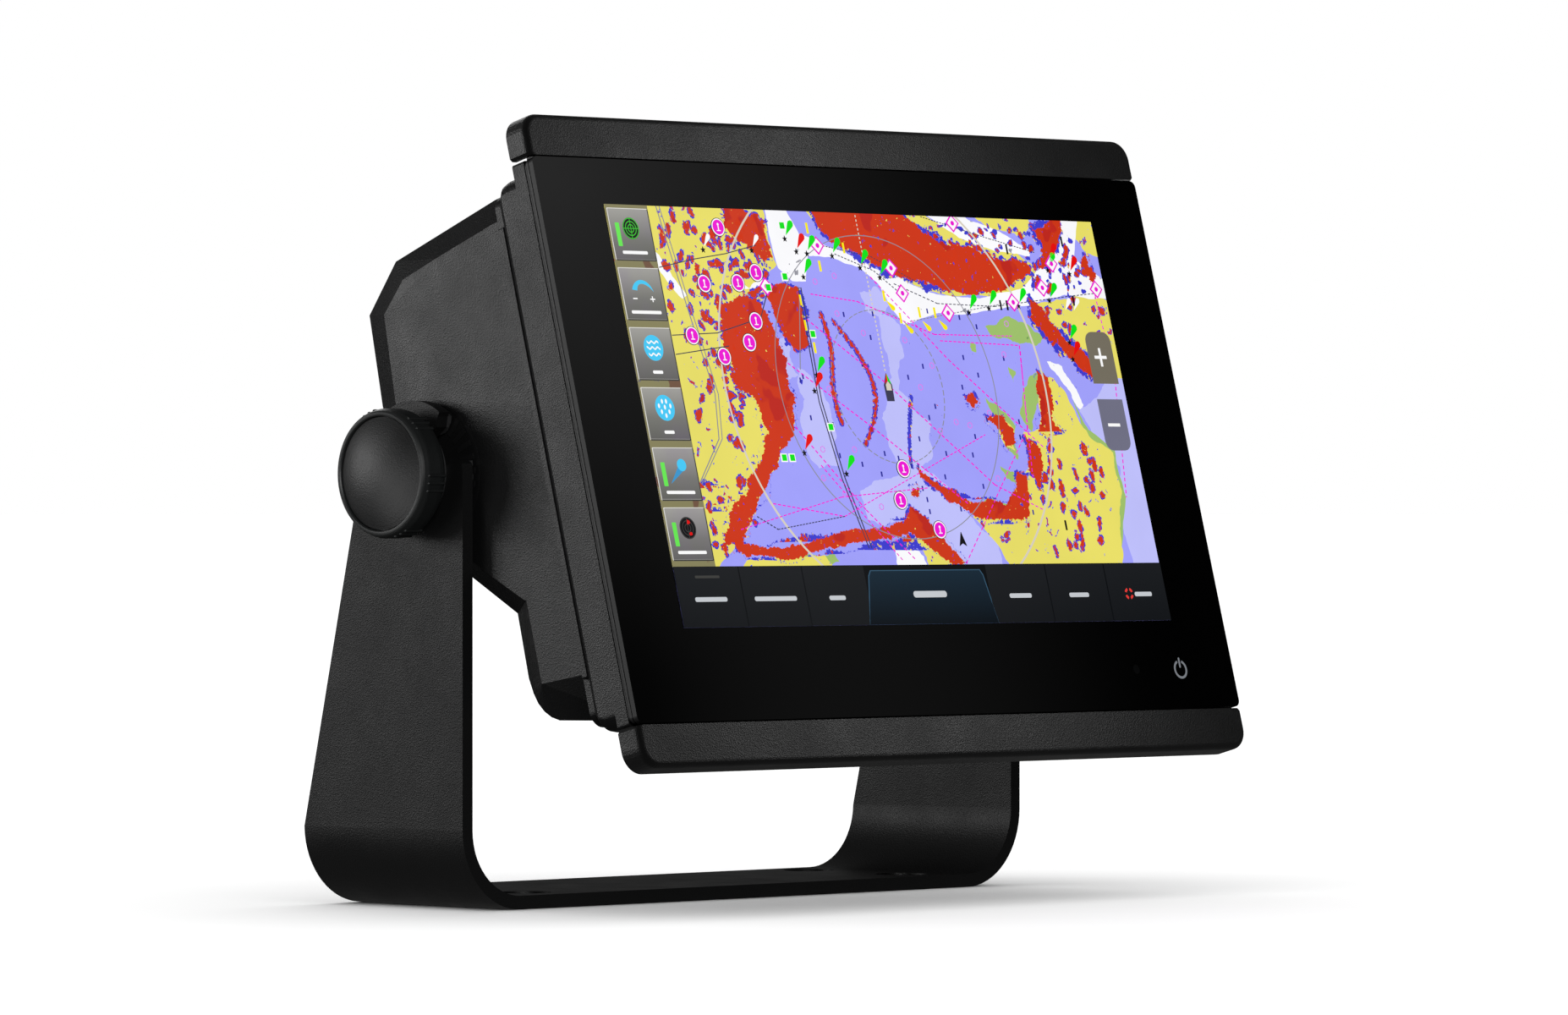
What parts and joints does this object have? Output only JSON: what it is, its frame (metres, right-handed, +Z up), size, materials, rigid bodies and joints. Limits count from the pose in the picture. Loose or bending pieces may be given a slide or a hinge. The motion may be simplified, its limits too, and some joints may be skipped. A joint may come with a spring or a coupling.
{
  "type": "chartplotter display",
  "caption": "Marine chartplotter display with a glass touchscreen front, clip-on trim caps and a deep rear casing, tilting on a U-shaped bail bracket with two clamping knobs.",
  "frame": {"origin": "on the bracket mounting face, midway between the arms and straight below the tilt axis", "axes": "+X to the right as the viewer faces the screen, +Y to the back, +Z up; the screen leans back 15 degrees at rest"},
  "size_m": [0.282, 0.1577, 0.2381],
  "materials": {
    "casing": "fine leather-grained moulding, charcoal black",
    "trim": "fine grained moulding, charcoal black",
    "bracket": "fine grained moulding, near black",
    "glass_front": "optically bonded cover glass, black-backed, gloss",
    "screen": "lit colour panel behind glass",
    "touch": "clear film",
    "bezel": "satin black",
    "seal": "matt black rubber",
    "sheet_metal": "bead-blasted sheet",
    "brass": "machined",
    "stud": "stainless, turned",
    "screws": "stainless",
    "circuit_board": "solder resist green",
    "flex": "polyimide film",
    "aerial": "ceramic patch",
    "pad": "soft thermal pad",
    "connector": "black glass-filled nylon",
    "contact": "gold-plated",
    "knob_rubber": "satin black elastomer",
    "knob_cap": "grained moulding",
    "ratchet": "satin moulding",
    "light_pipe": "clear"
  },
  "bodies": {
    "bracket": {"bracket": "bracket", "left_ratchet_ring": "ratchet", "right_ratchet_ring": "ratchet"},
    "top_trim": {"top_trim": "trim"},
    "bottom_trim": {"bottom_trim": "trim"},
    "card_door": {"card_door": "casing"},
    "left_washer": {"left_washer": "ratchet"},
    "right_washer": {"right_washer": "ratchet"},
    "left_knob": {"left_knob": "knob_rubber", "left_knob_cap": "knob_cap", "left_stud": "stud"},
    "right_knob": {"right_knob": "knob_rubber", "right_knob_cap": "knob_cap", "right_stud": "stud"},
    "display": {"front_glass": "glass_front", "glass_adhesive": "seal", "touch_sensor": "touch", "lcd_panel": "screen", "backlight_module": "sheet_metal", "front_bezel": "bezel", "bezel_gasket": "seal", "mid_frame": "casing", "middle_housing": "casing", "housing_gasket": "seal", "rear_housing": "casing", "left_pivot_insert": "brass", "right_pivot_insert": "brass", "chassis_plate": "sheet_metal", "main_board": "circuit_board", "processor_pad": "pad", "heat_spreader": "sheet_metal", "power_board": "circuit_board", "gps_antenna": "aerial", "beeper": "connector", "key_board": "circuit_board", "light_pipe": "light_pipe", "display_flex": "flex", "connector_board": "circuit_board", "connector_flex": "flex", "power_connector": "connector", "data_connector": "connector", "network_connectors": "connector", "video_connector": "connector", "connector_pins": "contact", "connector_nuts": "screws", "connector_seals": "seal", "card_reader": "sheet_metal", "card_door_pin": "stud", "card_door_gasket": "seal", "vent_plug": "connector", "housing_screws": "screws", "chassis_screws": "screws", "board_screws": "screws"}
  },
  "joints": [
    {"name": "display_tilt", "type": "hinge", "parent": "bracket", "child": "display", "pos_m": [0, 0, 0.1317], "axis": [1, 0, 0], "range_deg": [-48, 23]},
    {"name": "left_knob_travel", "type": "slide", "parent": "display", "child": "left_washer", "axis": [-1, 0, 0], "range_m": [0, 0.0025]},
    {"name": "left_knob_turn", "type": "hinge", "parent": "left_washer", "child": "left_knob", "pos_m": [-0.12, 0, 0.1317], "axis": [-1, 0, 0], "range_deg": [0, 720]},
    {"name": "right_knob_travel", "type": "slide", "parent": "display", "child": "right_washer", "axis": [1, 0, 0], "range_m": [0, 0.0025]},
    {"name": "right_knob_turn", "type": "hinge", "parent": "right_washer", "child": "right_knob", "pos_m": [0.12, 0, 0.1317], "axis": [1, 0, 0], "range_deg": [0, 720]},
    {"name": "top_trim_release", "type": "slide", "parent": "display", "child": "top_trim", "axis": [0, 0.2588, 0.9659], "range_m": [0, 0.008]},
    {"name": "bottom_trim_release", "type": "slide", "parent": "display", "child": "bottom_trim", "axis": [0, -0.2588, -0.9659], "range_m": [0, 0.008]},
    {"name": "card_door_hinge", "type": "hinge", "parent": "display", "child": "card_door", "pos_m": [0.064, 0.02053, 0.14649], "axis": [-1, 0, 0], "range_deg": [0, 90]}
  ],
  "couplings": [
    {"joint": "left_knob_travel", "follows": "left_knob_turn", "m_per_rad": 0.00019894},
    {"joint": "right_knob_travel", "follows": "right_knob_turn", "m_per_rad": 0.00019894}
  ]
}
